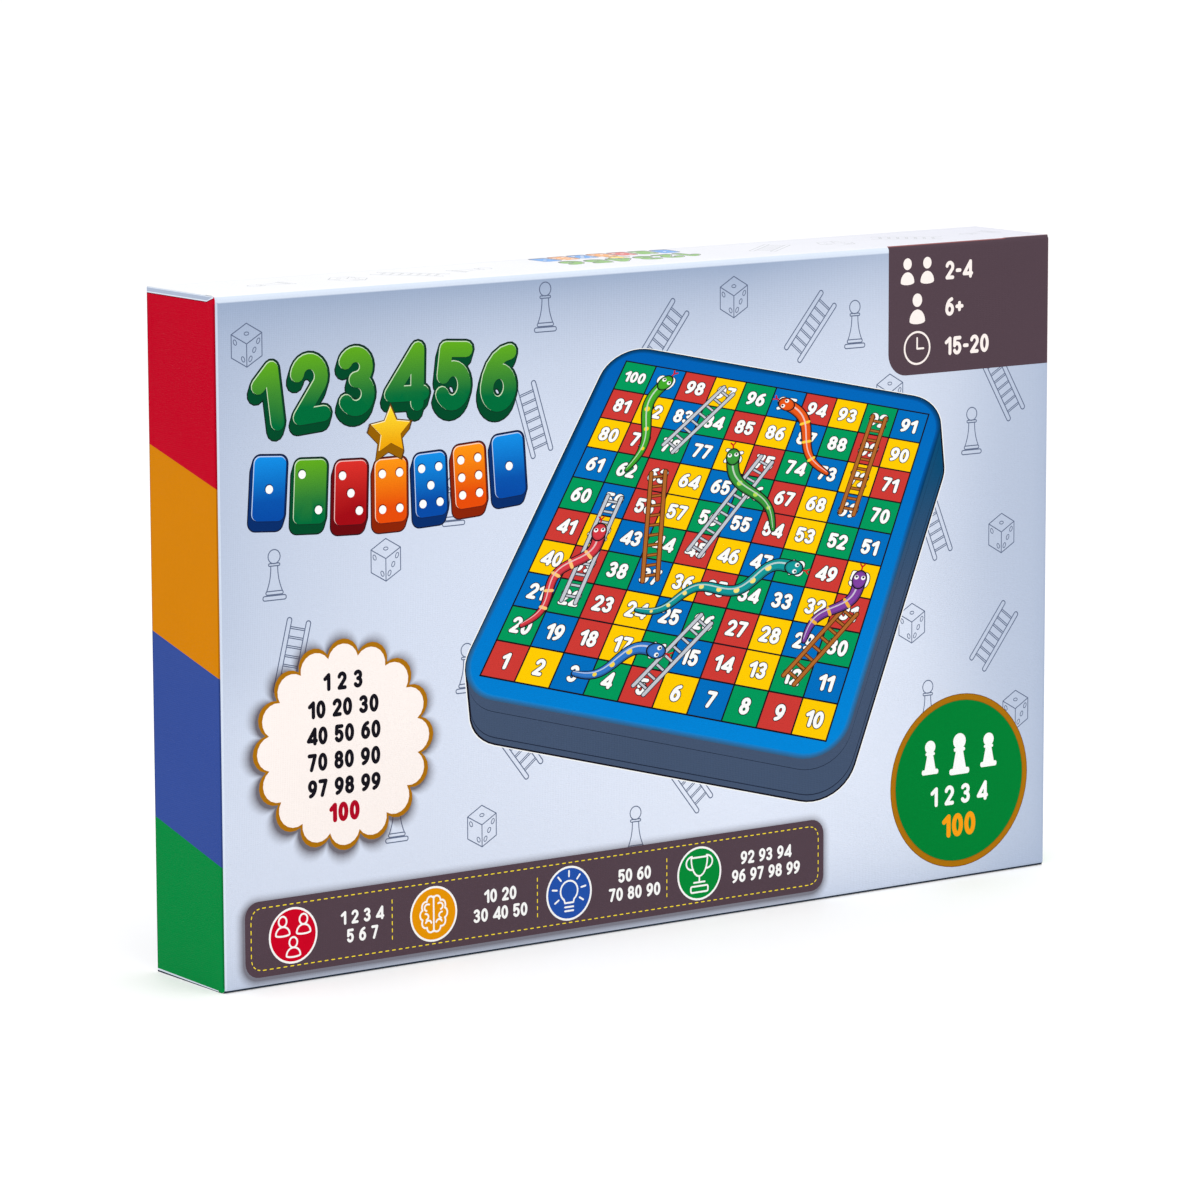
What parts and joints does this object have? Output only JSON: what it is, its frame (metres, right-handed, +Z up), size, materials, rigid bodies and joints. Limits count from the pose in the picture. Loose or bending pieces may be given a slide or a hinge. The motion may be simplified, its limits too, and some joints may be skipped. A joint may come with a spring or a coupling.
{
  "type": "boxed snakes and ladders game",
  "caption": "Snakes and ladders game in a book-opening carton standing on its long edge, with a moulded board, pawns, a die and rules in a foam insert.",
  "frame": {"origin": "middle of the closed carton's footprint, on the surface that it stands on", "axes": "+X along the carton's width, towards the spine; +Y to its back; +Z up"},
  "size_m": [0.39, 0.047, 0.256],
  "materials": {
    "cover_card": "satin",
    "end_card": "satin",
    "back_card": "satin",
    "tray_card": "matte",
    "hinge_tape": "matte",
    "foam": "matte",
    "board_plastic": "satin",
    "base_plastic": "satin",
    "playing_print": "gloss",
    "screw_steel": "satin",
    "foot_rubber": "matte",
    "red_plastic": "gloss",
    "yellow_plastic": "gloss",
    "green_plastic": "gloss",
    "blue_plastic": "gloss",
    "die_plastic": "gloss",
    "leaflet_paper": "satin"
  },
  "bodies": {
    "tray": {"back_panel": "back_card", "spine_panel": "back_card", "spine_hinge_tape": "hinge_tape", "tray_left_wall": "tray_card", "tray_top_wall": "tray_card", "tray_bottom_wall": "tray_card", "foam_front_layer": "foam", "foam_middle_layer": "foam", "foam_back_layer": "foam"},
    "cover": {"cover_front": "cover_card", "cover_left_wall": "end_card", "cover_top_wall": "cover_card", "cover_bottom_wall": "cover_card", "cover_hinge_tape": "hinge_tape"},
    "board": {"board_shell": "board_plastic", "board_base_cover": "base_plastic", "playing_sheet": "playing_print", "board_screws": "screw_steel", "board_feet": "foot_rubber"},
    "red_pawn": {"pawn_red": "red_plastic"},
    "yellow_pawn": {"pawn_yellow": "yellow_plastic"},
    "green_pawn": {"pawn_green": "green_plastic"},
    "blue_pawn": {"pawn_blue": "blue_plastic"},
    "game_die": {"die": "die_plastic"},
    "rules": {"rules_leaflet": "leaflet_paper"}
  },
  "joints": [
    {"name": "cover_hinge", "type": "hinge", "parent": "tray", "child": "cover", "pos_m": [0.195, -0.0235, 0], "axis": [0, 0, 1], "range_deg": [0, 180]},
    {"name": "board_lift", "type": "slide", "parent": "tray", "child": "board", "axis": [0, -1, 0], "range_m": [0, 0.038]},
    {"name": "red_pawn_lift", "type": "slide", "parent": "tray", "child": "red_pawn", "axis": [0, -1, 0], "range_m": [0, 0.019]},
    {"name": "yellow_pawn_lift", "type": "slide", "parent": "tray", "child": "yellow_pawn", "axis": [0, -1, 0], "range_m": [0, 0.019]},
    {"name": "green_pawn_lift", "type": "slide", "parent": "tray", "child": "green_pawn", "axis": [0, -1, 0], "range_m": [0, 0.019]},
    {"name": "blue_pawn_lift", "type": "slide", "parent": "tray", "child": "blue_pawn", "axis": [0, -1, 0], "range_m": [0, 0.019]},
    {"name": "die_lift", "type": "slide", "parent": "tray", "child": "game_die", "axis": [0, -1, 0], "range_m": [0, 0.019]},
    {"name": "rules_lift", "type": "slide", "parent": "tray", "child": "rules", "axis": [0, -1, 0], "range_m": [0, 0.019]}
  ],
  "couplings": [
    {"joint": "board_lift", "follows": "cover_hinge", "m_per_rad": 0.012},
    {"joint": "red_pawn_lift", "follows": "cover_hinge", "m_per_rad": 0.006},
    {"joint": "yellow_pawn_lift", "follows": "cover_hinge", "m_per_rad": 0.006},
    {"joint": "green_pawn_lift", "follows": "cover_hinge", "m_per_rad": 0.006},
    {"joint": "blue_pawn_lift", "follows": "cover_hinge", "m_per_rad": 0.006},
    {"joint": "die_lift", "follows": "cover_hinge", "m_per_rad": 0.006},
    {"joint": "rules_lift", "follows": "cover_hinge", "m_per_rad": 0.006}
  ]
}
